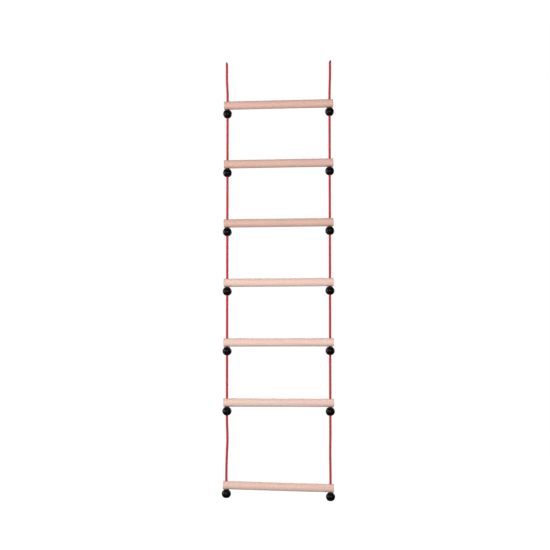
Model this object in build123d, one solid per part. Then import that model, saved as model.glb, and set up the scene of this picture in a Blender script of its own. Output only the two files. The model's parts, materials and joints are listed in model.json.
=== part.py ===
from build123d import *

import math
import os

# Escape rope ladder: seven beech rungs threaded on two ropes, each rung carried by a
# two-part ball stop clamped on each rope. It hangs by its two rope tails.
#
# Frame: +Z up, +X to the right along the rungs, +Y to the back. The origin is half-way
# between the two rope ends, at their mean height. Everything is in millimetres.

# --- driving dimensions ---------------------------------------------------------------
ROPE_D = 11.0
RUNG_D = 38.0
RUNG_LENGTH = 500.0
RUNG_COUNT = 7
BALL_D = 42.0

# Each rope hangs a little differently, so every rung has its own small tilt.
# first_rung: height of the top rung's centre at this rope; pitch: rung to rung above the
# last gap; last_gap: the longer drop to the bottom rung; x: where the rope runs.
SIDES = {
    "left": {"x": -234.0, "first_rung": -207.5, "pitch": 270.9, "last_gap": 369.8, "end_z": -5.0},
    "right": {"x": 233.3, "first_rung": -196.6, "pitch": 273.4, "last_gap": 382.2, "end_z": 5.0},
}

# Rope tails: a straight stretch that is tied or clamped, ending in a melted, pointed tip.
TAIL_X = {"left": -237.4, "right": 235.8}
TAIL_END_Z = -60.0
TIP_LENGTH = 14.0
TIP_END_D = 4.0
TIP_BULGE = 0.5  # how far the taper stands out of a straight cone

# Hand-laid routes (x, z) of the stretches that aren't plumb: the lean of the tails, down to
# where the rope is plumb above the top rung, and the slack last span, down to the same place
# above the bottom rung. Each starts plumb, in line with the piece of rope above it.
LEANS = {
    "left": [(-237.4, -84.0), (-236.3, -112.0), (-234.8, -138.0), (-234.0, -160.0)],
    "right": [(235.8, -84.0), (235.2, -108.0), (234.7, -132.0), (233.9, -153.0), (233.3, -170.0)],
}
SLACKS = {
    "left": [(-234.0, -1650.0), (-231.9, -1690.0), (-231.0, -1735.0), (-233.5, -1785.0),
             (-235.3, -1832.0), (-235.9, -1872.0)],
    "right": [(233.3, -1660.0), (233.5, -1705.0), (232.7, -1755.0), (232.5, -1808.0),
              (233.1, -1858.0), (233.4, -1900.0)],
}

# --- rung ------------------------------------------------------------------------------
ROPE_HOLE_D = 13.0
ROPE_HOLE_EASE = 1.0
RUNG_END_CHAMFER = 2.0

# --- ball stop -------------------------------------------------------------------------
BALL_GAP = 0.3  # between a rung and the top of its ball
MOUTH_R = 2.5  # rounding where the rope leaves the ball
RIB_BITE = 0.5
RIB_HALF_WIDTH = 1.2
RIB_HEIGHTS = (-8.0, 0.0, 8.0)
SEAM_CHAMFER = 0.4
LAST_ROPE_RECESS = 2.0  # the ropes stop this far inside the bottom balls

# --- stop screws, two in each ball, driven from the back --------------------------------
SCREW_X = 12.0
SCREW_D = 4.0
SCREW_CLEARANCE_D = 4.4
SCREW_PILOT_D = 4.1
HEAD_D = 7.4
HEAD_HEIGHT = 2.6
HEAD_POCKET_D = 8.2
HEAD_SEAT_Y = 8.0
SCREW_DEPTH = 10.0  # into the front shell
SCREW_POINT = 1.5
SCREW_POINT_D = 1.2
PILOT_SPARE = 0.5  # the pilot hole runs this much deeper than the screw
HEAD_DOME = (0.8, 0.9)  # width and height of the head's sloping rim
SOCKET_ACROSS_FLATS = 2.5
SOCKET_DEPTH = 1.6

# --- bends and limits --------------------------------------------------------------------
BEND_SHARE = 0.45  # the share of a straight run that each of its two bends may take
TOLERANCE = 1e-3

# --- worked out ------------------------------------------------------------------------
ROPE_R = ROPE_D / 2
BALL_R = BALL_D / 2
RUNG_R = RUNG_D / 2
# The mouth's rounding is a ring about the rope, tangent to its channel and to the sphere.
MOUTH_CENTRE_X = ROPE_R + MOUTH_R
BALL_EXIT = math.sqrt((BALL_R - MOUTH_R) ** 2 - MOUTH_CENTRE_X**2)  # the channel's half length
RUNG_TO_BALL = RUNG_R + BALL_GAP + BALL_EXIT + MOUTH_R  # rung axis to ball centre


def rung_height(side, number):
    """Height of rung 1 to RUNG_COUNT's axis where a rope runs through it."""
    place = SIDES[side]
    height = place["first_rung"] - place["pitch"] * (min(number, RUNG_COUNT - 1) - 1)
    return height - place["last_gap"] * (number == RUNG_COUNT)


def rope_x(side, number):
    """Where a rope runs through a rung: plumb, but for the shifted bottom rung."""
    return SLACKS[side][-1][0] if number == RUNG_COUNT else SIDES[side]["x"]


def ball_centre(side, number):
    return Vector(rope_x(side, number), 0, rung_height(side, number) - RUNG_TO_BALL)


def rung(number):
    """A round bar, laid through its two rope points, with an eased cross hole for each rope."""
    left = Vector(rope_x("left", number), 0, rung_height("left", number))
    right = Vector(rope_x("right", number), 0, rung_height("right", number))
    middle = (left + right) / 2
    along = (right - left).normalized()
    bar = Cylinder(RUNG_R, RUNG_LENGTH, rotation=(0, 90, 0))
    bar = chamfer(bar.edges().filter_by(GeomType.CIRCLE), RUNG_END_CHAMFER)
    for x in (-(right - left).length / 2, (right - left).length / 2):
        bar = bar - Pos(x, 0, 0) * Cylinder(ROPE_HOLE_D / 2, 2 * RUNG_D)
    holes = bar.faces().filter_by(GeomType.CYLINDER).sort_by(SortBy.AREA)[:-1]
    rims = [e for e in holes.edges() if e.geom_type != GeomType.LINE]
    bar = chamfer(rims, ROPE_HOLE_EASE)
    tilt = -math.degrees(math.atan2(along.Z, along.X))
    return Pos(*middle) * Rot(0, tilt, 0) * bar


def whole_ball():
    """The closed ball about the rope's axis: a turned profile with rounded mouths and grip ribs."""
    mouth = Vector(MOUTH_CENTRE_X, 0, BALL_EXIT)
    on_sphere = mouth.normalized() * BALL_R
    half = 0.5 * (math.pi + math.atan2(mouth.Z, mouth.X))
    crest = mouth + Vector(math.cos(half), 0, math.sin(half)) * MOUTH_R
    top_arc = ThreePointArc((ROPE_R, 0, mouth.Z), crest, on_sphere)
    bottom_arc = top_arc.mirror(Plane.XY)
    outside = ThreePointArc(on_sphere, (BALL_R, 0, 0), (on_sphere.X, 0, -on_sphere.Z))
    channel = [(ROPE_R, 0, -mouth.Z)]
    for z in RIB_HEIGHTS:
        channel += [
            (ROPE_R, 0, z - RIB_HALF_WIDTH),
            (ROPE_R - RIB_BITE, 0, z),
            (ROPE_R, 0, z + RIB_HALF_WIDTH),
        ]
    channel += [(ROPE_R, 0, mouth.Z)]
    profile = make_face([top_arc, outside, bottom_arc, Polyline(*channel)])
    return revolve(profile, Axis.Z)


def bore(x, front, back, diameter):
    """A hole's own space, along Y from front to back."""
    drill = Cylinder(diameter / 2, back - front, rotation=(90, 0, 0))
    return Pos(x, (front + back) / 2, 0) * drill


def ball_shells():
    """The front and rear shell of a ball stop at the origin, with the screw holes."""
    ball = whole_ball()
    front_space = Pos(0, -BALL_R, 0) * Box(BALL_D, BALL_D, BALL_D)
    front = ball & front_space
    rear = ball - front_space
    for x in (-SCREW_X, SCREW_X):
        front = front - bore(x, -SCREW_DEPTH - PILOT_SPARE, 0, SCREW_PILOT_D)
        rear = rear - bore(x, -SCREW_DEPTH, BALL_R, SCREW_CLEARANCE_D)
        rear = rear - bore(x, HEAD_SEAT_Y, BALL_R, HEAD_POCKET_D)
    return ease_seam(front), ease_seam(rear)


def ease_seam(shell):
    """Breaks the outer edge of a shell's parting face, so that two shells meet in a fine groove."""
    outer = [
        e for e in shell.edges()
        if abs(e.center().Y) < TOLERANCE and abs((e @ 0.5).length - BALL_R) < TOLERANCE
    ]
    return chamfer(outer, SEAM_CHAMFER)


def screw():
    """A pan-head socket screw along -Y, its head's seat at HEAD_SEAT_Y."""
    head_top = HEAD_SEAT_Y + HEAD_HEIGHT
    dome_width, dome_height = HEAD_DOME
    profile = make_face(Polyline(
        (0, head_top),
        (HEAD_D / 2 - dome_width, head_top),
        (HEAD_D / 2, head_top - dome_height),
        (HEAD_D / 2, HEAD_SEAT_Y),
        (SCREW_D / 2, HEAD_SEAT_Y),
        (SCREW_D / 2, SCREW_POINT - SCREW_DEPTH),
        (SCREW_POINT_D / 2, -SCREW_DEPTH),
        (0, -SCREW_DEPTH),
        (0, head_top),
    ))
    body = revolve(profile, Axis.Y)
    socket_plane = Plane(origin=(0, head_top, 0), x_dir=(1, 0, 0), z_dir=(0, 1, 0))
    hexagon = socket_plane * RegularPolygon(SOCKET_ACROSS_FLATS / 2, 6, major_radius=False)
    return body - extrude(hexagon, -SOCKET_DEPTH)


def tail(side):
    """The straight top of a rope, tapering to its melted tip."""
    x, top = TAIL_X[side], SIDES[side]["end_z"]
    shoulder = (ROPE_R, 0, top - TIP_LENGTH)
    neck = (TIP_END_D / 2, 0, top - TIP_END_D / 2)
    bulge = ((ROPE_R + TIP_END_D / 2) / 2 + TIP_BULGE, 0, (shoulder[2] + neck[2]) / 2)
    crest = (TIP_END_D / 2 * math.sqrt(0.5), 0, neck[2] + TIP_END_D / 2 * math.sqrt(0.5))
    profile = make_face([
        Polyline((0, 0, top), (0, 0, TAIL_END_Z), (ROPE_R, 0, TAIL_END_Z), shoulder),
        ThreePointArc(shoulder, bulge, neck),
        ThreePointArc(neck, crest, (0, 0, top)),
    ])
    return Pos(x, 0, 0) * revolve(profile, Axis.Z)


def rope_route(side, number):
    """Points (x, z) that a span follows, from under the stop above it to its own stop's mouth."""
    stop = ball_centre(side, number)
    end = stop.Z - BALL_EXIT
    if number == 1:
        return [(TAIL_X[side], TAIL_END_Z), *LEANS[side], (stop.X, end)]
    above = ball_centre(side, number - 1)
    start = (above.X, above.Z - BALL_EXIT)
    if number == RUNG_COUNT:
        return [start, *SLACKS[side], (stop.X, end + LAST_ROPE_RECESS)]
    return [start, (stop.X, end)]


def bend_radii(points):
    """The largest radius that each corner's two runs have room for."""
    radii = []
    for before, corner, after in zip(points, points[1:], points[2:]):
        turn = math.radians((corner - before).get_angle(after - corner))
        run = min((corner - before).length, (after - corner).length)
        radii.append(BEND_SHARE * run / math.tan(turn / 2))
    return radii


def rope_span(side, number):
    """A plain tube along a span's route, straight runs joined by tangent arcs."""
    points = [Vector(x, 0, z) for x, z in rope_route(side, number)]
    if len(points) == 2:
        path = Line(*points)
    else:
        radii = bend_radii(points)
        path = FilletPolyline(*points, radius=radii)
        print(side, number, "bend radii", [round(r) for r in radii])
    start = Plane(origin=path @ 0, z_dir=path % 0)
    tube = sweep(start * Circle(ROPE_R), path=path)
    expected = math.pi * ROPE_R**2 * path.length
    assert abs(tube.volume / expected - 1) < TOLERANCE, (side, number, tube.volume, expected)
    return tube


def write(shape, name):
    shape.label = name
    export_step(shape, f"parts/{name}.step")


def main():
    os.makedirs("parts", exist_ok=True)
    front, rear = ball_shells()
    one_screw = screw()
    for side in SIDES:
        write(tail(side), f"{side}_rope_tail")
    for number in range(1, RUNG_COUNT + 1):
        write(rung(number), f"rung_{number}")
        screws = []
        for side in SIDES:
            centre = Pos(*ball_centre(side, number))
            write(centre * front, f"{side}_stop_{number}_front")
            write(centre * rear, f"{side}_stop_{number}_rear")
            write(rope_span(side, number), f"{side}_rope_{number}")
            screws += [centre * Pos(x, 0, 0) * one_screw for x in (-SCREW_X, SCREW_X)]
        write(Compound(children=screws), f"stop_screws_{number}")


main()
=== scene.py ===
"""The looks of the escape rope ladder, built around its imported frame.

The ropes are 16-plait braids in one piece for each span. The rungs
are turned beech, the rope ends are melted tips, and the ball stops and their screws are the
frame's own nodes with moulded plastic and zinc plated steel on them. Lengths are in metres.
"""
import json
import math
import random

import bmesh
import bpy
import numpy as np
from mathutils import Matrix, Vector, noise

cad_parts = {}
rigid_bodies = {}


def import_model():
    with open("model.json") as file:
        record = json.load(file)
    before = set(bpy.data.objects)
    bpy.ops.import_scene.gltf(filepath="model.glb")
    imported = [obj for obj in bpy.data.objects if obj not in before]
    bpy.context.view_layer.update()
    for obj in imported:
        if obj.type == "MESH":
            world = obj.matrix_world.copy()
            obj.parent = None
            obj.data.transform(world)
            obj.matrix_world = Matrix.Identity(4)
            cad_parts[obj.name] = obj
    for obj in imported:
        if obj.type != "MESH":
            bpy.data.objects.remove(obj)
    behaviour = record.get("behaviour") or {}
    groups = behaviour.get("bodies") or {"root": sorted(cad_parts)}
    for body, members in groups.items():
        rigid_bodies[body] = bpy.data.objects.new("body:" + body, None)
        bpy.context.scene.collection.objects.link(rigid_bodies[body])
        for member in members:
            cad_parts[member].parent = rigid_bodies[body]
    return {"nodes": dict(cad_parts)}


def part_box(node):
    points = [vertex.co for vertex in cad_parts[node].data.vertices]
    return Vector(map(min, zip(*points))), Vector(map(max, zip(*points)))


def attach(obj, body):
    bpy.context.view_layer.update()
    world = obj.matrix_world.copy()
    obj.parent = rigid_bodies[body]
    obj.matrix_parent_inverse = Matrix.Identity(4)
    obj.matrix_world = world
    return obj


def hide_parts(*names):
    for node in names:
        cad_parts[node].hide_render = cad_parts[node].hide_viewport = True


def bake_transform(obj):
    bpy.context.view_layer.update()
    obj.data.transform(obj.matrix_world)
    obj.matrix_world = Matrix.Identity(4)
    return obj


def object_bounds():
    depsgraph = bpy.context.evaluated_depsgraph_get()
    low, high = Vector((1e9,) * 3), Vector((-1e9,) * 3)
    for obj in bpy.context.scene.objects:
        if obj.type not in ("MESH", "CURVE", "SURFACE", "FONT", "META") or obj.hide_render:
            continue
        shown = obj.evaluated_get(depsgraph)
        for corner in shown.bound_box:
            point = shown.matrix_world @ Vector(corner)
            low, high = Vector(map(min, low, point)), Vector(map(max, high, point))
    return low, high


for leftover in list(bpy.data.objects):
    bpy.data.objects.remove(leftover)
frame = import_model()
cad_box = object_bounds()

SIDES = ("left", "right")
OUTWARD = {"left": -1, "right": 1}
RUNG_COUNT = 7
BACK = np.array((0.0, 1.0, 0.0))


# --- places, read from the frame -----------------------------------------------------------
def middle(*nodes):
    """The middle of the box round these nodes."""
    boxes = [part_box(n) for n in nodes]
    low = [min(b[0][i] for b in boxes) for i in range(3)]
    high = [max(b[1][i] for b in boxes) for i in range(3)]
    return (Vector(low) + Vector(high)) / 2


def ball(side, number):
    """The centre of the ball stop under one end of a rung."""
    return middle(f"{side}_stop_{number}_front", f"{side}_stop_{number}_rear")


# --- ropes -----------------------------------------------------------------------------------
PLAITS = 8  # strands that wind each way
REPEAT = 4  # strands after which the braid's pattern repeats
FLOAT = 2  # strands that a float passes over. A float is a stretch of strand on the surface
FINE = 5  # mesh cells across one strand
AROUND = PLAITS * FINE  # mesh points in one ring round the rope
LAY = 0.037  # length of one full turn of a strand
CORE_R = 0.00490  # radius at the grooves between strands
STRAND_RISE = 0.00074  # how far a strand's back stands out of the grooves
FLOAT_ARCH = 0.45  # how arched a float is along its length: 0 is level, 1 is a sine
FLOAT_LIFTS = (0.82, 1.12)  # the lowest and the highest float, as shares of the rise
FLOAT_KINDS = 4096  # floats before their lifts repeat
SWELL = 0.00005  # how much the radius comes and goes along the rope
SWELL_PITCH = 0.047
NARROWING = 0.010  # length over which the rope narrows towards a melted end
TOP_NARROWS = 0.0005  # how much of its radius it loses there, at the top
BOTTOM_NARROWS = 0.0004
STRAND_MARGIN = 0.04  # free edge of a strand's strip in texture space, whose width is 1
SECOND_SET = 400  # where the strands that wind the other way begin in texture space
TIP_LENGTH = 0.0155
TIP_LAP = 0.003  # how far the rope runs on inside its melted tip

# The routes' own points (x, z), where the ropes aren't plumb. The first and last ones given
# here lie on plumb stretches.
TAILS = {
    "left": [(-0.2374, -0.056), (-0.2374, -0.084), (-0.2363, -0.112), (-0.2348, -0.138),
             (-0.2340, -0.160), (-0.2340, -0.182)],
    "right": [(0.2358, -0.046), (0.2357, -0.068), (0.2350, -0.092), (0.2342, -0.116),
              (0.2336, -0.138), (0.2333, -0.160), (0.2333, -0.182)],
}
SLACKS = {
    "left": [(-0.2340, -1.650), (-0.2319, -1.690), (-0.2310, -1.735), (-0.2335, -1.785),
             (-0.2353, -1.832), (-0.2359, -1.872), (-0.2359, -1.912)],
    "right": [(0.2333, -1.660), (0.2335, -1.705), (0.2327, -1.755), (0.2325, -1.808),
              (0.2331, -1.858), (0.2334, -1.900), (0.2334, -1.940)],
}


def tip_base(side):
    """Where a rope's melted tip begins, below the top of the frame's tail."""
    low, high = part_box(f"{side}_rope_tail")
    return Vector(((low.x + high.x) / 2, 0, high.z - TIP_LENGTH))


def route(side, number):
    """Control points (x, z) of a span, from the body above it down into its ball."""
    stop = ball(side, number)
    if number == 1:
        top = tip_base(side)
        return [(top.x, top.z + TIP_LAP), *TAILS[side], (stop.x, stop.z)]
    above = ball(side, number - 1)
    if number == RUNG_COUNT:
        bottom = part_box(f"{side}_rope_{number}")[0].z
        return [(above.x, above.z), *SLACKS[side], (stop.x, bottom)]
    return [(above.x, above.z), (above.x, (above.z + stop.z) / 2), (stop.x, stop.z)]


def centre_line(points):
    """Closely spaced points along the NURBS spline that has these control points."""
    curve = bpy.data.curves.new("route", "CURVE")
    curve.dimensions = "3D"
    curve.resolution_u = 40
    spline = curve.splines.new("NURBS")
    spline.points.add(len(points) - 1)
    for point, (x, z) in zip(spline.points, points):
        point.co = (x, 0, z, 1)
    spline.order_u = 3
    spline.use_endpoint_u = True
    holder = bpy.data.objects.new("route", curve)
    bpy.context.scene.collection.objects.link(holder)
    mesh = bpy.data.meshes.new_from_object(holder)
    line = [v.co.copy() for v in mesh.vertices]
    bpy.data.objects.remove(holder)
    bpy.data.meshes.remove(mesh)
    return line


def along(line, count):
    """count evenly spaced points on a line, the direction there, and the line's length."""
    points = np.array(line)
    reach = np.concatenate([[0], np.cumsum(np.linalg.norm(np.diff(points, axis=0), axis=1))])
    wanted = np.linspace(0, reach[-1], count)
    spots = np.stack([np.interp(wanted, reach, points[:, i]) for i in range(3)], 1)
    ways = np.gradient(spots, axis=0)
    return spots, ways / np.linalg.norm(ways, axis=1, keepdims=True), reach[-1]


def line_length(line):
    """The length of a line of points."""
    return sum((b - a).length for a, b in zip(line, line[1:]))


def mesh_object(name, points, faces, corner_uvs=None):
    """A smooth-shaded mesh piece. corner_uvs is one (u, v) for each face corner."""
    mesh = bpy.data.meshes.new(name)
    mesh.from_pydata([tuple(p) for p in points], [], faces)
    mesh.polygons.foreach_set("use_smooth", [True] * len(mesh.polygons))
    if corner_uvs is not None:
        layer = mesh.uv_layers.new(name="Strands")
        layer.data.foreach_set("uv", np.asarray(corner_uvs, float).ravel())
    mesh.validate()
    piece = bpy.data.objects.new(name, mesh)
    bpy.context.scene.collection.objects.link(piece)
    return piece


def store(piece, name, kind, values):
    """Stores a value for each point of a piece, which its material reads by name."""
    layer = piece.data.attributes.new(name, kind, "POINT")
    layer.data.foreach_set("value" if kind == "FLOAT" else "vector", values)


def strand_cells(a, b, cell_a, cell_b):
    """Where points of a 2-over-2 braid are on the floats that lie uppermost there.

    a and b count strands along the two winding directions, and cell_a, cell_b are the cells
    that the points belong to. Returns the place along the float, from 0 to FLOAT while it is on
    the surface, the place across it, from 0 to 1, and a number for the float."""
    over = (cell_a - cell_b) % REPEAT < FLOAT
    start_a, start_b = cell_b, cell_a + 1
    run = np.where(over, (a - start_a) % REPEAT, (b - start_b) % REPEAT)
    across = np.where(over, b - cell_b, a - cell_a)
    turn = np.where(over, (a - start_a) // REPEAT, (b - start_b) // REPEAT).astype(int)
    number = turn * 131 + np.where(over, cell_b * 17, cell_a * 29 + 7)  # scattered, not in order
    return run, across, number


def braid_index(row, place):
    """The number of a braid's point. place counts half cells round the rope."""
    return row * AROUND + ((place - row % 2) // 2) % AROUND


def braid_points(line, rows, seed, top_narrows, bottom_narrows):
    """A braid's points, in rings along a line, and the middles of the rings.

    Every other ring is turned half a cell, so that the cells between them stand on a corner
    and follow the strands. The last two values are how much the radius shrinks at each end."""
    row, cell = np.meshgrid(np.arange(rows + 1), np.arange(AROUND), indexing="ij")
    place = 2 * cell + row % 2
    turn_a, turn_b = (row + place) // 2, (row - place) // 2
    run, across, number = strand_cells(turn_a / FINE, turn_b / FINE, turn_a // FINE, turn_b // FINE)
    arch = np.sin(np.pi * run / FLOAT).clip(0) ** FLOAT_ARCH
    backs = np.sqrt(np.clip(1 - (2 * across - 1) ** 2, 0, 1)) * arch
    chance = np.random.RandomState(seed)
    lift = chance.uniform(*FLOAT_LIFTS, FLOAT_KINDS)[number % FLOAT_KINDS]

    spots, ways, length = along(line, rows + 1)
    reach = np.arange(rows + 1) * length / rows
    swell = SWELL * np.sin(reach * 2 * math.pi / SWELL_PITCH + seed)
    swell -= top_narrows * np.clip(1 - reach / NARROWING, 0, 1) ** 2
    swell -= bottom_narrows * np.clip(1 - (length - reach) / NARROWING, 0, 1) ** 2
    radius = CORE_R + STRAND_RISE * backs * lift + swell[:, None]

    angle = np.pi * place / AROUND
    sideways = np.cross(ways, BACK)
    points = (
        spots[:, None, :]
        + (radius * np.cos(angle))[..., None] * sideways[:, None, :]
        + (radius * np.sin(angle))[..., None] * BACK
    )
    return points.reshape(-1, 3).tolist(), spots


def braid_cells(rows):
    """A braid's mesh cells, and the texture coordinates of their corners.

    u runs along each strand. The whole part of v says which strand it is, and the rest where
    across it."""
    row, cell = np.meshgrid(np.arange(rows - 1), np.arange(AROUND), indexing="ij")
    row, place = row.ravel(), (2 * cell + row % 2).ravel()
    cells = np.stack([
        braid_index(row, place), braid_index(row + 1, place - 1),
        braid_index(row + 2, place), braid_index(row + 1, place + 1),
    ], 1)
    first_a, first_b = (row + place) // 2, (row - place) // 2
    cell_a, cell_b = first_a // FINE, first_b // FINE
    over = ((cell_a - cell_b) % REPEAT < FLOAT)[:, None]
    corner_a = (first_a[:, None] + np.array([0, 0, 1, 1])) / FINE
    corner_b = (first_b[:, None] + np.array([0, 1, 1, 0])) / FINE
    u = np.where(over, corner_a, corner_b + SECOND_SET)
    across = np.where(over, corner_b - cell_b[:, None], corner_a - cell_a[:, None])
    strand = np.where(over, cell_b[:, None] % PLAITS, cell_a[:, None] % PLAITS + PLAITS)
    v = strand + STRAND_MARGIN + (1 - 2 * STRAND_MARGIN) * across
    return cells.tolist(), np.stack([u, v], -1).reshape(-1, 2)


def braid_caps(points, rows, spots):
    """Triangles that close a braid's ends: between the teeth of its last rings, then a fan."""
    caps = []
    for row, inward in ((0, 1), (rows, -1)):
        hub = len(points)
        points.append(spots[row].tolist())
        for place in range(row % 2, 2 * AROUND, 2):
            here, then = braid_index(row, place), braid_index(row, place + 2)
            tooth = braid_index(row + inward, place + 1)
            rim = [[here, tooth, then], [here, then, hub]]
            caps += rim if inward > 0 else [face[::-1] for face in rim]
    return caps


def braid(name, line, seed, top_narrows=0.0, bottom_narrows=0.0):
    """A closed braided tube along a line: its mesh cells lie along the two sets of strands."""
    rows = round(line_length(line) / (LAY / (2 * AROUND))) // 2 * 2
    points, spots = braid_points(line, rows, seed, top_narrows, bottom_narrows)
    cells, uvs = braid_cells(rows)
    caps = braid_caps(points, rows, spots)
    uvs = np.concatenate([uvs, np.zeros((3 * len(caps), 2))])
    return mesh_object(name, points, cells + caps, uvs)


def rope_span(side, number, material):
    """One span of rope: from a rope's melted tip, or the ball above, down to the section's ball."""
    line = centre_line(route(side, number))
    rope = braid(
        f"{side}_braid_{number}", line, seed=11 * number + len(side),
        top_narrows=TOP_NARROWS if number == 1 else 0.0,
        bottom_narrows=BOTTOM_NARROWS if number == RUNG_COUNT else 0.0,
    )
    rope.data.materials.append(material)
    nodes = [f"{side}_rope_{number}"]
    if number == 1:
        nodes.append(f"{side}_rope_tail")
    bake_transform(rope)
    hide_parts(*nodes)


# --- melted rope ends --------------------------------------------------------------------------
MELTED_SPOKES = 72  # mesh points round a melted tip or end
TIP_RINGS = 44
TIP_PROFILE = [
    # share of the tip's length, radius there
    (0.0, 0.0048), (0.03, 0.0053), (0.09, 0.0056), (0.22, 0.0054), (0.40, 0.0048),
    (0.58, 0.0039), (0.74, 0.0029), (0.88, 0.0020), (0.96, 0.0013), (1.0, 0.0004),
]
TIP_LEAN = 0.0021  # how far the point bends outward
TIP_WANDER = 0.0006  # and how far it strays to the front or back
TIP_SPLAY = 0.0005  # how uneven the tip's lower edge is
TIP_EDGE = 0.12  # share of the tip's length that counts as its edge
TRACES = 0.10  # depth of the strands' traces, as a share of the radius
TRACE_TWIST = 5  # how far they wind over the tip's length
LUMPS = 0.11
LUMP_SCALE = 1.7
FINE_LUMPS = 0.035
FINE_LUMP_SCALE = 4.3  # against the lumps' own
FIRST_SCORCH = {"left": -0.12, "right": 0.14}  # the right tip was held longer in the flame
END_RINGS = 14
END_RISE = 0.0012  # from the frame's rope end up to where the fused button begins
END_DEPTH = 0.0019
END_R = 0.0052
END_MIDDLE = 0.04  # share of that radius where the rings stop short of the middle
END_LUMPS = 0.07
END_DEPTH_LUMPS = 0.4
END_LUMP_SCALE = 2.6
END_SCORCH_DEPTH = 0.002


def turned(name, rings):
    """A closed mesh through rings of MELTED_SPOKES points each, with its two ends capped."""
    spokes = MELTED_SPOKES
    points = [p for ring in rings for p in ring]
    faces = []
    for k in range(len(rings) - 1):
        for s in range(spokes):
            n = (s + 1) % spokes
            faces.append((k * spokes + s, k * spokes + n, (k + 1) * spokes + n, (k + 1) * spokes + s))
    for ring, order in ((0, -1), (len(rings) - 1, 1)):
        loop = [ring * spokes + s for s in range(spokes)][::order]
        centre = sum((Vector(points[i]) for i in loop), Vector()) / spokes
        points.append(centre)
        faces += [(loop[s], loop[(s + 1) % spokes], len(points) - 1) for s in range(spokes)]
    return mesh_object(name, points, faces)


def scorch(piece, amounts):
    """Stores how far the flame darkened each point, from 0 to 1."""
    store(piece, "scorch", "FLOAT", [min(max(a, 0.0), 1.0) for a in amounts])


def melted_tip(side, material):
    """A rope end drawn to a bent point in a flame: strands fuse into a dark, lumpy cone."""
    base, out = tip_base(side), OUTWARD[side]
    rings = []
    for k in range(TIP_RINGS + 1):
        t = 1 - (1 - k / TIP_RINGS) ** 1.25  # the rings crowd towards the point
        radius = np.interp(t, *zip(*TIP_PROFILE))
        lean = out * TIP_LEAN * t**1.6
        ring = []
        for s in range(MELTED_SPOKES):
            angle = 2 * math.pi * s / MELTED_SPOKES
            lobes, wind = PLAITS // 2 * angle, TRACE_TWIST * t
            strands = abs(math.cos(lobes + wind)) * abs(math.cos(lobes - wind))
            spot = Vector((math.cos(angle), math.sin(angle), 3 * t)) * LUMP_SCALE
            lump = noise.noise(spot + Vector((7.0 * out, 0, 0)))
            fine = noise.noise(spot * FINE_LUMP_SCALE + Vector((0, 3.0 * out, 0)))
            traces = TRACES * (1 - t) ** 2 * (strands - 0.6)
            grow = 1 + traces + LUMPS * lump + FINE_LUMPS * fine
            ring.append(base + Vector((
                lean + radius * grow * math.cos(angle),
                radius * grow * math.sin(angle) + TIP_WANDER * t * math.sin(5 * t),
                t * TIP_LENGTH + TIP_SPLAY * lump * (t < TIP_EDGE),
            )))
        rings.append(ring)
    tip = turned(f"{side}_melted_tip", rings)
    scorch(tip, [(v.co.z - base.z) / TIP_LENGTH + FIRST_SCORCH[side] for v in tip.data.vertices])
    tip.data.materials.append(material)
    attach(tip, "hanger")


def melted_end(side, material):
    """The fused button that closes a rope's lower end, just inside the bottom ball."""
    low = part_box(f"{side}_rope_{RUNG_COUNT}")[0]
    base = Vector((ball(side, RUNG_COUNT).x, 0, low.z + END_RISE))
    rings = []
    for k in range(END_RINGS + 1):
        turn = k / END_RINGS * math.pi / 2
        ring = []
        for s in range(MELTED_SPOKES):
            angle = 2 * math.pi * s / MELTED_SPOKES
            spot = Vector((math.cos(angle) * math.cos(turn), math.sin(angle) * math.cos(turn), k / 9))
            lump = noise.noise(spot * END_LUMP_SCALE + Vector((0, 0, 9.0 * OUTWARD[side])))
            radius = END_R * max(math.cos(turn), END_MIDDLE) * (1 + END_LUMPS * lump)
            ring.append(base + Vector((
                radius * math.cos(angle), radius * math.sin(angle),
                -END_DEPTH * math.sin(turn) * (1 + END_DEPTH_LUMPS * lump),
            )))
        rings.append(ring[::-1])
    end = turned(f"{side}_melted_end", rings)
    scorch(end, [(base.z - v.co.z) / END_SCORCH_DEPTH for v in end.data.vertices])
    end.data.materials.append(material)
    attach(end, f"section_{RUNG_COUNT}")


# --- rungs ---------------------------------------------------------------------------------------
RUNG_R = 0.019
RUNG_HALF = 0.250
END_ROUND = 0.0022
HOLE_R = 0.0065
HOLE_ROUND = 0.0013
RUNG_TONES = {1: 0.05, 2: 0.05, 3: 0.08, 4: 1.0, 5: 1.0, 6: 1.0, 7: 0.70}  # 0 dark, 1 pale
BOW = 0.00035  # how far a rung's middle is out of line, at most
TREAD_WEAR = 0.00018  # how far the top is worn down in the middle
TREAD_LENGTH = 0.11  # from the middle to where the wear is about a third of that
TREAD_SHADE_LENGTH = 0.13  # and to where its darker colour is
HOLE_DIRT_REACH = 0.003
END_SHADE_REACH = 0.0025
END_ROUGHNESS = 0.00012
END_GRAIN_SCALE = 900
PITH_DISTANCES = (0.035, 0.075)  # from the rung's axis to the middle of the tree
TREE_STEP = 0.9  # how far apart the rungs were cut from the tree
DENT_COUNTS = (9, 15)
DENT_RANGES = [
    (-0.20, 0.20),  # place along the rung
    (0, 2 * math.pi),  # place round it
    (0.00008, 0.0004),  # depth
    (0.003, 0.009),  # length
    (0.0015, 0.004),  # width
]

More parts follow.
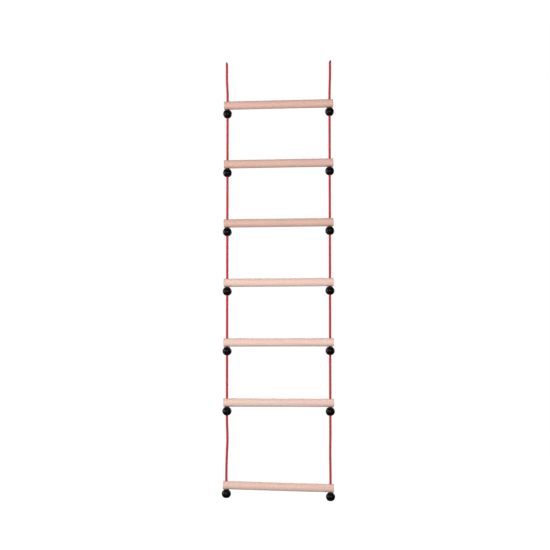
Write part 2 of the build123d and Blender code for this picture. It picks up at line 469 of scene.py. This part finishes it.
SPOKES = 96  # mesh points round the rung
PLAIN_COLUMNS = 159  # rings of them between the two patches of finer mesh round the holes
END_COLUMNS = 2  # and from a patch out to the end
PATCH = 10  # mesh cells from a hole's axis to the edge of its patch
PATCH_REACH = 0.0125  # and how far that is along the rung
HOLE_TURNS = {1: SPOKES // 4, -1: 3 * SPOKES // 4}  # where the mouths are round the rung
ROUND_STEPS = 5  # mesh cells across a rounded edge
MOUTH_SHARES = (0.3, 0.58, 0.82, 1.0)  # rings, from a patch's edge to the hole's rim
WALL_SHARES = (0.2, 0.4, 0.6, 0.8)  # rings down a hole's wall
FLAT_STEPS = 8  # mesh cells from the edge of an end's flat to its middle


class Plan:
    """The points and faces of a mesh that is laid out loop by loop."""

    def __init__(self):
        self.points = []
        self.faces = []

    def add(self, point):
        """Adds a point, and gives its number."""
        self.points.append(point)
        return len(self.points) - 1

    def join(self, first, second, way=1):
        """Quads between two closed loops of as many points. With way -1 they face the other way."""
        if way < 0:
            first, second = second, first
        for s in range(len(first)):
            n = (s + 1) % len(first)
            self.faces.append((first[s], first[n], second[n], second[s]))


def rung_columns(hole_x):
    """Where the rung's rings of points are along it, and which ring each hole's patch starts at."""
    patch = [hole_x + PATCH_REACH * k / PATCH for k in range(-PATCH, PATCH + 1)]
    between = np.linspace(-patch[0], patch[0], PLAIN_COLUMNS + 2)[1:-1]
    to_end = RUNG_HALF - END_ROUND - patch[-1]
    outer = [patch[-1] + to_end * k / END_COLUMNS for k in range(1, END_COLUMNS + 1)]
    right = [*patch, *outer]
    columns = [*(-x for x in right[::-1]), *between, *right]
    return columns, {-1: END_COLUMNS, 1: len(columns) - len(right)}


def dents(number):
    """Shallow bruises from use: (x, angle, depth, length, width)."""
    chance = random.Random(40 + number)
    return [
        tuple(chance.uniform(*ends) for ends in DENT_RANGES)
        for _ in range(chance.randint(*DENT_COUNTS))
    ]


def drift_at(x, bow):
    """How far a bowed rung's axis is out of line at x, as (y, z)."""
    return bow * (1 - (x / RUNG_HALF) ** 2)


def rung_surface(x, angle, bruises, bow):
    """A point of the worn bar: a slight bow, a tread worn a little flat, and the bruises."""
    worn = TREAD_WEAR * math.exp(-((x / TREAD_LENGTH) ** 2)) * max(0.0, math.sin(angle)) ** 6
    for place, turn, depth, length, width in bruises:
        gap = (angle - turn + math.pi) % (2 * math.pi) - math.pi
        worn += depth * math.exp(-((x - place) / length) ** 2 - (gap * RUNG_R / width) ** 2)
    radius = RUNG_R - worn
    drift = drift_at(x, bow)
    return Vector((x, radius * math.cos(angle) + drift.x, radius * math.sin(angle) + drift.y))


def bar(plan, columns, patch_starts, bruises, bow):
    """The bar's round, left open where the holes' patches are. Gives its grid of point numbers."""

    def in_patch(q, s, inset):
        """Whether a cell of the grid, or with an inset of 1 a point of it, lies in a patch."""
        return any(
            start + inset <= q < start + 2 * PATCH and turn - PATCH + inset <= s < turn + PATCH
            for start in patch_starts.values() for turn in HOLE_TURNS.values()
        )

    grid = {}
    for q, x in enumerate(columns):
        for s in range(SPOKES):
            if not in_patch(q, s, inset=1):
                angle = 2 * math.pi * s / SPOKES
                grid[q, s] = plan.add(rung_surface(x, angle, bruises, bow))
    for q in range(len(columns) - 1):
        for s in range(SPOKES):
            if not in_patch(q, s, inset=0):
                n = (s + 1) % SPOKES
                corners = [(q, s), (q, n), (q + 1, n), (q + 1, s)]
                plan.faces.append(tuple(grid[c] for c in corners))
    return grid


def patch_edge(grid, start, face):
    """The grid's points round a hole's patch, anticlockwise seen from +Z for both faces."""
    turn = HOLE_TURNS[face]
    side = range(-PATCH, PATCH)
    spots = [(start + 2 * PATCH, turn - face * k) for k in side]
    spots += [(start + PATCH - k, turn - face * PATCH) for k in side]
    spots += [(start, turn + face * k) for k in side]
    spots += [(start + PATCH + k, turn + face * PATCH) for k in side]
    return [grid[spot] for spot in spots]


def hole_mouth(plan, edge, face, axis_x, drift):
    """Rings from a patch's edge in to a hole's rim and round it. Gives the last one."""
    offsets = [(plan.points[i].x - axis_x, plan.points[i].y - drift.x) for i in edge]
    turns = [math.atan2(y, x) for x, y in offsets]
    starts = [math.hypot(y, x) for x, y in offsets]
    rim = HOLE_R + HOLE_ROUND
    rings = [([start + (rim - start) * share for start in starts], 0.0) for share in MOUTH_SHARES]
    for step in range(1, ROUND_STEPS + 1):
        bend = step / ROUND_STEPS * math.pi / 2
        rings.append(([rim - HOLE_ROUND * math.sin(bend)] * len(edge), HOLE_ROUND * (1 - math.cos(bend))))
    last = edge
    for radii, sink in rings:
        loop = []
        for turn, radius in zip(turns, radii):
            y = radius * math.sin(turn)
            z = math.sqrt(RUNG_R**2 - y * y) - sink
            spot = (axis_x + radius * math.cos(turn), y + drift.x, face * z + drift.y)
            loop.append(plan.add(Vector(spot)))
        plan.join(last, loop, way=face)
        last = loop
    return last


def cross_hole(plan, grid, start, axis_x, bow):
    """The two mouths and the wall of one cross hole."""
    drift = drift_at(axis_x, bow)
    upper, lower = [
        hole_mouth(plan, patch_edge(grid, start, face), face, axis_x, drift) for face in (1, -1)
    ]
    last = upper
    for share in WALL_SHARES:
        loop = [plan.add(plan.points[i].lerp(plan.points[j], share)) for i, j in zip(upper, lower)]
        plan.join(last, loop)
        last = loop
    plan.join(last, lower)


def bar_end(plan, edge, end, seed):
    """The rounded edge and the slightly rough flat of one end."""
    rings = []
    for step in range(1, ROUND_STEPS + 1):
        bend = step / ROUND_STEPS * math.pi / 2
        rings.append((RUNG_HALF - END_ROUND * (1 - math.sin(bend)),
                      RUNG_R - END_ROUND * (1 - math.cos(bend)), 0.0))
    for k in range(1, FLAT_STEPS):
        rings.append((RUNG_HALF, (RUNG_R - END_ROUND) * (1 - k / FLAT_STEPS), END_ROUGHNESS))
    last = edge
    for x, radius, roughness in rings:
        loop = []
        for s in range(SPOKES):
            angle = 2 * math.pi * s / SPOKES
            y, z = radius * math.cos(angle), radius * math.sin(angle)
            rough = roughness * noise.noise(Vector((END_GRAIN_SCALE * y, END_GRAIN_SCALE * z, seed)))
            loop.append(plan.add(Vector((end * (x + rough), y, z))))
        plan.join(last, loop, way=end)
        last = loop
    centre = plan.add(Vector((end * RUNG_HALF, 0, 0)))
    for s in range(SPOKES):
        n = (s + 1) % SPOKES
        plan.faces.append((last[s], last[n], centre) if end > 0 else (last[n], last[s], centre))


def rung_mesh(number, hole_x):
    """A turned bar along X with rounded ends and an eased cross hole for each rope."""
    chance = random.Random(number)
    bow = Vector((chance.uniform(-1, 1), chance.uniform(-1, 1))) * BOW
    columns, patch_starts = rung_columns(hole_x)
    plan = Plan()
    grid = bar(plan, columns, patch_starts, dents(number), bow)
    for end in (1, -1):
        cross_hole(plan, grid, patch_starts[end], end * hole_x, bow)
    for end, column in ((1, len(columns) - 1), (-1, 0)):
        bar_end(plan, [grid[column, s] for s in range(SPOKES)], end, end * number)
    return plan.points, plan.faces


def wear_marks(points, hole_x):
    """How near each point is to a hole, to an end and to the tread, from 0 to 1 each."""
    marks = []
    for p in points:
        from_hole = math.hypot(abs(p.x) - hole_x, p.y) - HOLE_R
        from_end = RUNG_HALF - abs(p.x)
        near_hole = math.exp(-max(from_hole, 0.0) / HOLE_DIRT_REACH)
        at_end = math.exp(-max(from_end, 0.0) / END_SHADE_REACH)
        tread = math.exp(-((p.x / TREAD_SHADE_LENGTH) ** 2)) * max(0.0, p.z / RUNG_R) ** 2
        marks += [near_hole, at_end, tread]
    return marks


def rung(number, material):
    """A rung in its place, with its grain's own place in the tree stored on it."""
    left, right = ball("left", number), ball("right", number)
    hole_x = (right - left).length / 2
    points, faces = rung_mesh(number, hole_x)
    piece = mesh_object(f"beech_rung_{number}", points, faces)
    chance = random.Random(70 + number)
    roll = Matrix.Rotation(chance.uniform(0, 2 * math.pi), 3, "X")
    shift = Vector((TREE_STEP * number, chance.uniform(*PITH_DISTANCES), 0.0))
    store(piece, "grain", "FLOAT_VECTOR", [c for p in points for c in roll @ p + shift])
    store(piece, "tone", "FLOAT", [RUNG_TONES[number]] * len(points))
    store(piece, "wear", "FLOAT_VECTOR", wear_marks(points, hole_x))
    way = (right - left).normalized()
    turn = Matrix.Rotation(-math.atan2(way.z, way.x), 4, "Y")
    piece.data.transform(Matrix.Translation(middle(f"rung_{number}")) @ turn)
    piece.data.materials.append(material)
    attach(piece, f"rung_{number}")
    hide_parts(f"rung_{number}")


# --- materials -------------------------------------------------------------------------------------
ROPE_SHADE = (0.300, 0.009, 0.013)
ROPE_RED = (0.620, 0.026, 0.034)
ROPE_BUNDLE = (0.46, 0.013, 0.020)  # whole bundles of filaments that took the dye otherwise
ROPE_FADED = (0.640, 0.045, 0.048)
# painted shade: the colour that each strand's edges are darkened towards, in the grooves between strands
ROPE_GROOVE_SHADE = (0.090, 0.003, 0.005)

RING_PITCH = 0.0031
WOOD_SHADE = ((0.500, 0.308, 0.250), (0.655, 0.484, 0.420))  # of a dark rung, and of a pale one
WOOD_LIGHT = ((0.585, 0.382, 0.320), (0.735, 0.568, 0.504))
WOOD_PATCH = (0.660, 0.395, 0.325)
LATE_WOOD = (0.470, 0.240, 0.155)
WOOD_FIBRE = (0.560, 0.310, 0.215)
RAY_FLECK = (0.335, 0.150, 0.090)
WOOD_PORE = (0.290, 0.140, 0.090)
HOLE_DIRT = (0.270, 0.140, 0.095)
END_GRAIN = (0.430, 0.235, 0.150)
WORN_TREAD = (0.560, 0.360, 0.275)

PLASTIC_BLACKS = ((0.0016, 0.0016, 0.0024), (0.0034, 0.0034, 0.0046))
SCUFF_DUST = (0.030, 0.029, 0.030)
SCUFF_SCALE = (70.0, 3800.0, 900.0)  # long, thin and flat, so that they read as hairlines
SCUFFS = [
    # turn, offset
    ((0.3, 0.8, 0.1), 0.0),
    ((1.1, 0.2, 0.9), 4.0),
    ((0.5, 1.9, 1.4), 9.0),
]
ZINC_GREYS = ((0.52, 0.54, 0.57), (0.70, 0.71, 0.72))


def node(tree, kind, inputs=None, **settings):
    """Adds a shader node. Each input is a value, or another node's output to link."""
    made = tree.nodes.new("ShaderNode" + kind)
    for key, value in settings.items():
        setattr(made, key, value)
    for key, value in (inputs or {}).items():
        if isinstance(value, bpy.types.NodeSocket):
            tree.links.new(value, made.inputs[key])
        else:
            made.inputs[key].default_value = value
    return made


def calc(tree, operation, first, second=0.0, third=0.0):
    return node(tree, "Math", {0: first, 1: second, 2: third}, operation=operation).outputs[0]


def vector_calc(tree, operation, first, second):
    return node(tree, "VectorMath", {0: first, 1: second}, operation=operation).outputs[0]


def ramp(tree, factor, *stops):
    """A colour ramp through stops, each (place, colour or grey)."""
    made = node(tree, "ValToRGB", {"Fac": factor})
    elements = made.color_ramp.elements
    while len(elements) < len(stops):
        elements.new(0.5)
    for element, (place, colour) in zip(elements, stops):
        element.position = place
        element.color = (*colour, 1) if isinstance(colour, tuple) else (colour,) * 3 + (1,)
    return made.outputs["Color"]


def mix(tree, factor, first, second):
    """Mixes two colours."""
    colours = [(*c, 1) if isinstance(c, tuple) else c for c in (first, second)]
    made = node(tree, "Mix", {0: factor, 6: colours[0], 7: colours[1]}, data_type="RGBA")
    return made.outputs[2]


def mix_some(tree, factor, share, first, second):
    """Mixes up to a share of the second colour into the first, as much as the factor says."""
    return mix(tree, calc(tree, "MULTIPLY", factor, share), first, second)


def noise_of(tree, vector, scale, detail=2.0, rough=0.5):
    return node(tree, "TexNoise", {"Vector": vector, "Scale": scale, "Detail": detail,
                                   "Roughness": rough}).outputs["Fac"]


def stretched(tree, vector, scale, place=(0, 0, 0)):
    """Scales coordinates: a larger scale makes what is drawn on them finer."""
    return node(tree, "Mapping", {"Vector": vector, "Scale": scale, "Location": place}).outputs[0]


def stored(tree, name, output="Fac"):
    """What store() left on the piece under this name."""
    return node(tree, "Attribute", attribute_name=name).outputs[output]


def new_material(name):
    """A material with an empty Principled shader: (material, tree, shader)."""
    material = bpy.data.materials.new(name)
    material.use_nodes = True
    tree = material.node_tree
    return material, tree, tree.nodes["Principled BSDF"]


def set_bump(tree, shader, height, strength, distance):
    """Gives the shader a fine relief."""
    made = node(tree, "Bump", {"Height": height, "Strength": strength, "Distance": distance})
    tree.links.new(made.outputs[0], shader.inputs["Normal"])


def set_inputs(tree, shader, **values):
    """Sets the shader's sockets by name, with _ for a space, to a value or another output."""
    for name, value in values.items():
        socket = shader.inputs[name.replace("_", " ")]
        if isinstance(value, bpy.types.NodeSocket):
            tree.links.new(value, socket)
        else:
            socket.default_value = value


def rope_material():
    """Red polyester braid: filaments along each strand, with painted shade in the grooves where strands
    dive under.
    """
    material, tree, shader = new_material("braided_rope")
    strands = node(tree, "UVMap", uv_map="Strands").outputs[0]
    place = node(tree, "TexCoord").outputs["Object"]
    across = calc(tree, "FRACT", node(tree, "SeparateXYZ", {0: strands}).outputs[1])
    from_middle = calc(tree, "ABSOLUTE", calc(tree, "MULTIPLY_ADD", across, 2.0, -1.0))
    groove_relief_and_shade = calc(tree, "POWER", from_middle, 3.0)
    filaments = noise_of(tree, stretched(tree, strands, (1.3, 16.0, 1.0)), 1.0, 3.0, 0.6)
    bundles = noise_of(tree, stretched(tree, strands, (0.35, 4.0, 1.0), (3, 8, 0)), 1.0, 1.0)
    faded = noise_of(tree, place, 9.0, 2.0)
    red = mix(tree, ramp(tree, filaments, (0.30, 0.0), (0.70, 1.0)), ROPE_SHADE, ROPE_RED)
    red = mix_some(tree, bundles, 0.35, red, ROPE_BUNDLE)
    red = mix_some(tree, faded, 0.20, red, ROPE_FADED)
    # painted shade: each strand darkens towards its edges, standing in for the shade in the grooves
    # between strands
    red = mix_some(tree, groove_relief_and_shade, 0.80, red, ROPE_GROOVE_SHADE)
    relief = calc(tree, "SUBTRACT", filaments, calc(tree, "MULTIPLY", groove_relief_and_shade, 0.5))
    set_bump(tree, shader, relief, 0.55, 0.0004)
    set_inputs(tree, shader, Base_Color=red, Roughness=ramp(tree, filaments, (0.2, 0.62), (0.8, 0.46)),
               Specular_IOR_Level=0.30, Sheen_Weight=0.08, Sheen_Roughness=0.4,
               Sheen_Tint=(1.0, 0.45, 0.42, 1))
    return material


def melted_material():
    """Fused fibre: dark red where the braid ends, through brown to a near black point."""
    material, tree, shader = new_material("melted_rope")
    place = node(tree, "TexCoord").outputs["Object"]
    blotches = noise_of(tree, place, 420.0, 4.0, 0.6)
    fine = noise_of(tree, place, 1900.0, 3.0)
    burnt = calc(tree, "ADD", stored(tree, "scorch"), calc(tree, "MULTIPLY_ADD", blotches, 0.5, -0.25))
    colour = ramp(tree, burnt, (0.0, (0.340, 0.013, 0.017)), (0.42, (0.230, 0.011, 0.016)),
                  (0.66, (0.085, 0.011, 0.012)), (0.92, (0.016, 0.008, 0.008)))
    set_bump(tree, shader, calc(tree, "ADD", blotches, calc(tree, "MULTIPLY", fine, 0.3)), 0.3, 0.0002)
    set_inputs(tree, shader, Base_Color=colour, Roughness=ramp(tree, fine, (0.35, 0.34), (0.7, 0.55)),
               Specular_IOR_Level=0.35)
    return material


def growth_rings(tree, bent, from_pith):
    """How near a point is to the dark late wood of its growth ring, from 0 to 1."""
    uneven = noise_of(tree, stretched(tree, bent, (1.0, 60.0, 60.0)), 1.0, 1.0)
    rings = calc(tree, "FRACT", calc(tree, "ADD", calc(tree, "DIVIDE", from_pith, RING_PITCH),
                                     calc(tree, "MULTIPLY", uneven, 1.2)))
    return ramp(tree, rings, (0.0, 0.15), (0.12, 0.0), (0.62, 0.12), (0.93, 1.0), (1.0, 0.15))


def wood_material():
    """Oiled beech: growth rings round a pith outside the bar, fine pores and short ray flecks."""
    material, tree, shader = new_material("turned_beech")
    grain = stored(tree, "grain", "Vector")
    near_hole, at_end, tread = node(tree, "SeparateXYZ", {0: stored(tree, "wear", "Vector")}).outputs
    waver = node(tree, "TexNoise", {"Vector": stretched(tree, grain, (2.2, 30.0, 30.0)), "Scale": 1.0,
                                    "Detail": 2.0}).outputs["Color"]
    drift = vector_calc(tree, "SUBTRACT", waver, (0.5, 0.5, 0.5))
    drift = vector_calc(tree, "MULTIPLY", drift, (0.0, 0.006, 0.006))
    bent = vector_calc(tree, "ADD", grain, drift)
    x, y, z = node(tree, "SeparateXYZ", {0: bent}).outputs
    from_pith = calc(tree, "SQRT", calc(tree, "ADD", calc(tree, "MULTIPLY", y, y),
                                        calc(tree, "MULTIPLY", z, z)))
    late = growth_rings(tree, bent, from_pith)
    fibres = noise_of(tree, stretched(tree, bent, (28.0, 1500.0, 1500.0)), 1.0, 3.0, 0.55)
    streaks = noise_of(tree, stretched(tree, bent, (5.0, 210.0, 210.0), (4, 4, 4)), 1.0, 2.0)
    ray_space = node(tree, "CombineXYZ", {
        0: calc(tree, "MULTIPLY", x, 360.0),
        1: calc(tree, "MULTIPLY", calc(tree, "ARCTAN2", y, z), 190.0),
        2: calc(tree, "MULTIPLY", from_pith, 620.0),
    }).outputs[0]
    flecks = ramp(tree, noise_of(tree, ray_space, 1.0, 1.0, 0.4), (0.655, 0.0), (0.72, 1.0))
    pores = ramp(tree, noise_of(tree, stretched(tree, bent, (90.0, 4200.0, 4200.0)), 1.0, 1.0),
                 (0.62, 0.0), (0.74, 1.0))
    patches = noise_of(tree, stretched(tree, grain, (6.0, 26.0, 26.0), (2, 0, 5)), 1.0, 2.0)

    pale = stored(tree, "tone")
    colour = mix(tree, streaks, mix(tree, pale, *WOOD_SHADE), mix(tree, pale, *WOOD_LIGHT))
    colour = mix_some(tree, patches, 0.40, colour, WOOD_PATCH)
    colour = mix_some(tree, late, 0.42, colour, LATE_WOOD)
    colour = mix_some(tree, fibres, 0.30, colour, WOOD_FIBRE)
    colour = mix_some(tree, flecks, 0.50, colour, RAY_FLECK)
    colour = mix_some(tree, pores, 0.30, colour, WOOD_PORE)
    smudge = calc(tree, "MULTIPLY", near_hole, calc(tree, "MULTIPLY_ADD", patches, 0.8, 0.15))
    colour = mix(tree, smudge, colour, HOLE_DIRT)
    colour = mix_some(tree, at_end, 0.38, colour, END_GRAIN)
    colour = mix_some(tree, tread, 0.16, colour, WORN_TREAD)

    relief = calc(tree, "ADD", calc(tree, "MULTIPLY", fibres, 0.6), calc(tree, "MULTIPLY", late, 0.3))
    relief = calc(tree, "SUBTRACT", relief, calc(tree, "MULTIPLY", pores, 0.6))
    set_bump(tree, shader, relief, 0.35, 0.00025)
    rough = calc(tree, "SUBTRACT", calc(tree, "MULTIPLY_ADD", fibres, 0.22, 0.40),
                 calc(tree, "MULTIPLY", tread, 0.08))
    rough = calc(tree, "ADD", rough, calc(tree, "MULTIPLY", at_end, 0.2))
    set_inputs(tree, shader, Base_Color=colour, Roughness=rough, Specular_IOR_Level=0.35)
    return material


def hairlines(tree, place, turn, offset):
    """One set of hairline scuffs, all running the same way."""
    turned_place = node(tree, "Mapping", {"Vector": place, "Rotation": turn,
                        "Location": (offset,) * 3, "Scale": SCUFF_SCALE}).outputs[0]
    return ramp(tree, noise_of(tree, turned_place, 1.0, 1.0), (0.70, 0.0), (0.745, 1.0))


def plastic_material():
    """Moulded black polypropylene: satin skin, hairline scuffs and a little dust in them."""
    material, tree, shader = new_material("ball_plastic")
    place = node(tree, "TexCoord").outputs["Object"]
    skin = noise_of(tree, place, 2600.0, 2.0)
    waves = noise_of(tree, place, 130.0, 2.0)
    first, second, third = [hairlines(tree, place, *scuff) for scuff in SCUFFS]
    scuffs = calc(tree, "MAXIMUM", calc(tree, "MAXIMUM", first, second), third)
    colour = mix_some(tree, scuffs, 0.35, mix(tree, waves, *PLASTIC_BLACKS), SCUFF_DUST)
    rough = calc(tree, "MULTIPLY_ADD", waves, 0.16, 0.20)
    rough = calc(tree, "MULTIPLY_ADD", scuffs, 0.22, rough)
    relief = calc(tree, "SUBTRACT", calc(tree, "MULTIPLY", skin, 0.25), scuffs)
    set_bump(tree, shader, relief, 0.22, 0.0001)
    set_inputs(tree, shader, Base_Color=colour, Roughness=rough, Specular_IOR_Level=0.4)
    return material


def steel_material():
    """Zinc plated steel: slightly blue, with a fine satin and duller spots."""
    material, tree, shader = new_material("screw_steel_finish")
    place = node(tree, "TexCoord").outputs["Object"]
    satin = noise_of(tree, place, 3800.0, 2.0)
    spots = noise_of(tree, place, 750.0, 3.0)
    set_bump(tree, shader, satin, 0.15, 0.00005)
    set_inputs(tree, shader, Base_Color=mix(tree, spots, *ZINC_GREYS), Metallic=0.9,
               Roughness=calc(tree, "MULTIPLY_ADD", spots, 0.25, 0.38))
    return material


def floor_material():
    """A pale floor that stays just white, so it doesn't eat into thin things seen against it."""
    material, tree, shader = new_material("studio_white")
    place = node(tree, "TexCoord").outputs["Object"]
    tone = noise_of(tree, place, 0.7, 2.0)
    set_inputs(tree, shader, Base_Color=mix(tree, tone, (0.05, 0.05, 0.05), (0.07, 0.07, 0.07)),
               Roughness=0.9, Specular_IOR_Level=0.0, Emission_Color=(1, 1, 1, 1), Emission_Strength=0.97)
    return material


def dome_material():
    """The white that the camera sees round the ladder. It lights nothing."""
    material, tree, shader = new_material("studio_backdrop")
    set_inputs(tree, shader, Base_Color=(0, 0, 0, 1), Roughness=1.0, Specular_IOR_Level=0.0,
               Emission_Color=(1, 1, 1, 1), Emission_Strength=1.0)
    return material


# --- studio ----------------------------------------------------------------------------------------
FLOOR_DROP = 0.30  # below the bottom of the ladder
FLOOR_REACH = 14.0
DOME_R = 22.0  # just past the floor's corners
DAYLIGHT = (0.88, 0.94, 1.0)
DAYLIGHT_STRENGTH = 0.56
LAMPS = [
    # name, place from the ladder's centre, width, height, watts, colour, seen in reflections
    ("key", (-1.1, -3.4, 0.8), 2.6, 1.3, 72.0, (1.0, 0.985, 0.97), False),
    ("low_key", (-0.7, -3.4, -0.2), 2.0, 1.0, 27.0, (1.0, 0.985, 0.97), False),
    ("front_band", (0.0, -5.6, 0.1), 4.0, 0.53, 46.0, (0.97, 0.98, 1.0), True),
    ("left_window", (-4.5, -2.0, 0.1), 1.2, 3.6, 58.0, (0.95, 0.97, 1.0), True),
    ("left_rim", (-4.6, 1.3, 0.1), 1.7, 3.4, 33.0, (0.95, 0.97, 1.0), True),
    ("right_fill", (4.4, -0.4, 0.6), 1.8, 3.0, 60.0, (1.0, 0.99, 0.98), False),
    ("back_key", (0.9, 4.4, 1.4), 3.3, 2.1, 120.0, (1.0, 0.99, 0.98), True),
    ("back_left", (-3.0, 4.2, 1.2), 1.8, 2.7, 45.0, (1.0, 1.0, 1.0), True),
    ("back_right", (3.9, 3.6, 0.6), 1.8, 2.7, 45.0, (1.0, 1.0, 1.0), True),
]
SUNS = [
    # name, watts per square metre, turn about X, colour
    ("skylight", 0.07, 0.0, (1.0, 1.0, 1.0)),
    ("floor_bounce", 0.20, math.pi, (0.62, 0.84, 1.0)),
]
SUN_SPREAD = math.radians(70)
AIM = Vector((-0.01675, 0.0, -0.98482))  # the point that the camera looks at
CAMERA_DISTANCE = 5.0
CAMERA_TILT = math.radians(2.9623)  # looking up
CAMERA_LENS = 71.936
SENSOR_WIDTH = 36.0
CLIP_END = 200.0


def add_stage(name, mesh, material):
    """Adds a piece of the studio, which isn't part of the ladder."""
    mesh.materials.append(material)
    piece = bpy.data.objects.new(name, mesh)
    bpy.context.scene.collection.objects.link(piece)
    return piece


def backdrop():
    """A pale floor, which neither lights the ladder nor shows in it, inside a white dome."""
    floor_mesh = bpy.data.meshes.new("studio_floor")
    reach, height = FLOOR_REACH, cad_box[0].z - FLOOR_DROP
    corners = [(-reach, -reach), (reach, -reach), (reach, reach), (-reach, reach)]
    floor_mesh.from_pydata([(x, y, height) for x, y in corners], [], [(0, 1, 2, 3)])
    floor = add_stage("studio_floor", floor_mesh, floor_material())
    for kind in ("glossy", "diffuse"):
        setattr(floor, f"visible_{kind}", False)

    dome_mesh = bpy.data.meshes.new("studio_dome")
    form = bmesh.new()
    bmesh.ops.create_uvsphere(form, u_segments=48, v_segments=24, radius=DOME_R)
    form.to_mesh(dome_mesh)
    form.free()
    dome = add_stage("studio_dome", dome_mesh, dome_material())
    for kind in ("diffuse", "glossy", "transmission", "volume_scatter", "shadow"):
        setattr(dome, f"visible_{kind}", False)


def daylight():
    """Even, slightly blue light from all round, which glossy things don't mirror."""
    world = bpy.data.worlds.new("studio_daylight")
    world.use_nodes = True
    sky = world.node_tree.nodes["Background"]
    sky.inputs["Color"].default_value = (*DAYLIGHT, 1)
    sky.inputs["Strength"].default_value = DAYLIGHT_STRENGTH
    world.cycles_visibility.glossy = False
    bpy.context.scene.world = world


def add_light(name, light, reflected):
    """Puts a light in the scene. reflected says whether glossy things mirror it."""
    holder = bpy.data.objects.new(name, light)
    holder.visible_glossy = reflected
    bpy.context.scene.collection.objects.link(holder)
    return holder


def lamps():
    """Soft lamps all round, aimed at the ladder's centre, and wide suns above and below."""
    centre = (cad_box[0] + cad_box[1]) / 2
    for name, place, width, height, watts, colour, reflected in LAMPS:
        lamp = bpy.data.lights.new(name, "AREA")
        lamp.shape = "RECTANGLE"
        lamp.size, lamp.size_y = width, height
        lamp.energy, lamp.color = watts, colour
        holder = add_light(name, lamp, reflected)
        holder.location = centre + Vector(place)
        holder.rotation_euler = (-Vector(place)).to_track_quat("-Z", "Y").to_euler()
    for name, strength, turn, colour in SUNS:
        sun = bpy.data.lights.new(name, "SUN")
        sun.energy, sun.angle, sun.color = strength, SUN_SPREAD, colour
        add_light(name, sun, False).rotation_euler = (turn, 0, 0)


def camera():
    """The camera, a little below the ladder's middle and looking slightly up."""
    scene = bpy.context.scene
    lens = bpy.data.cameras.new("camera")
    lens.lens = CAMERA_LENS
    lens.sensor_width = SENSOR_WIDTH
    lens.clip_end = CLIP_END
    eye = bpy.data.objects.new("camera", lens)
    ahead = Vector((0, math.cos(CAMERA_TILT), math.sin(CAMERA_TILT)))
    eye.location = AIM - ahead * CAMERA_DISTANCE
    eye.rotation_euler = (math.pi / 2 + CAMERA_TILT, 0, 0)
    scene.collection.objects.link(eye)
    scene.camera = eye


# --- the whole ladder ------------------------------------------------------------------------------
def main():
    camera()
    backdrop()
    daylight()
    lamps()
    bpy.context.scene.view_settings.view_transform = "Standard"
    rope, melted, wood = rope_material(), melted_material(), wood_material()
    plastic, steel = plastic_material(), steel_material()
    for side in SIDES:
        for number in range(1, RUNG_COUNT + 1):
            rope_span(side, number, rope)
        melted_tip(side, melted)
        melted_end(side, melted)
    for number in range(1, RUNG_COUNT + 1):
        rung(number, wood)
    for name, piece in frame["nodes"].items():
        if "stop" in name:
            for place in piece.material_slots:
                place.material = steel if "screws" in name else plastic


main()
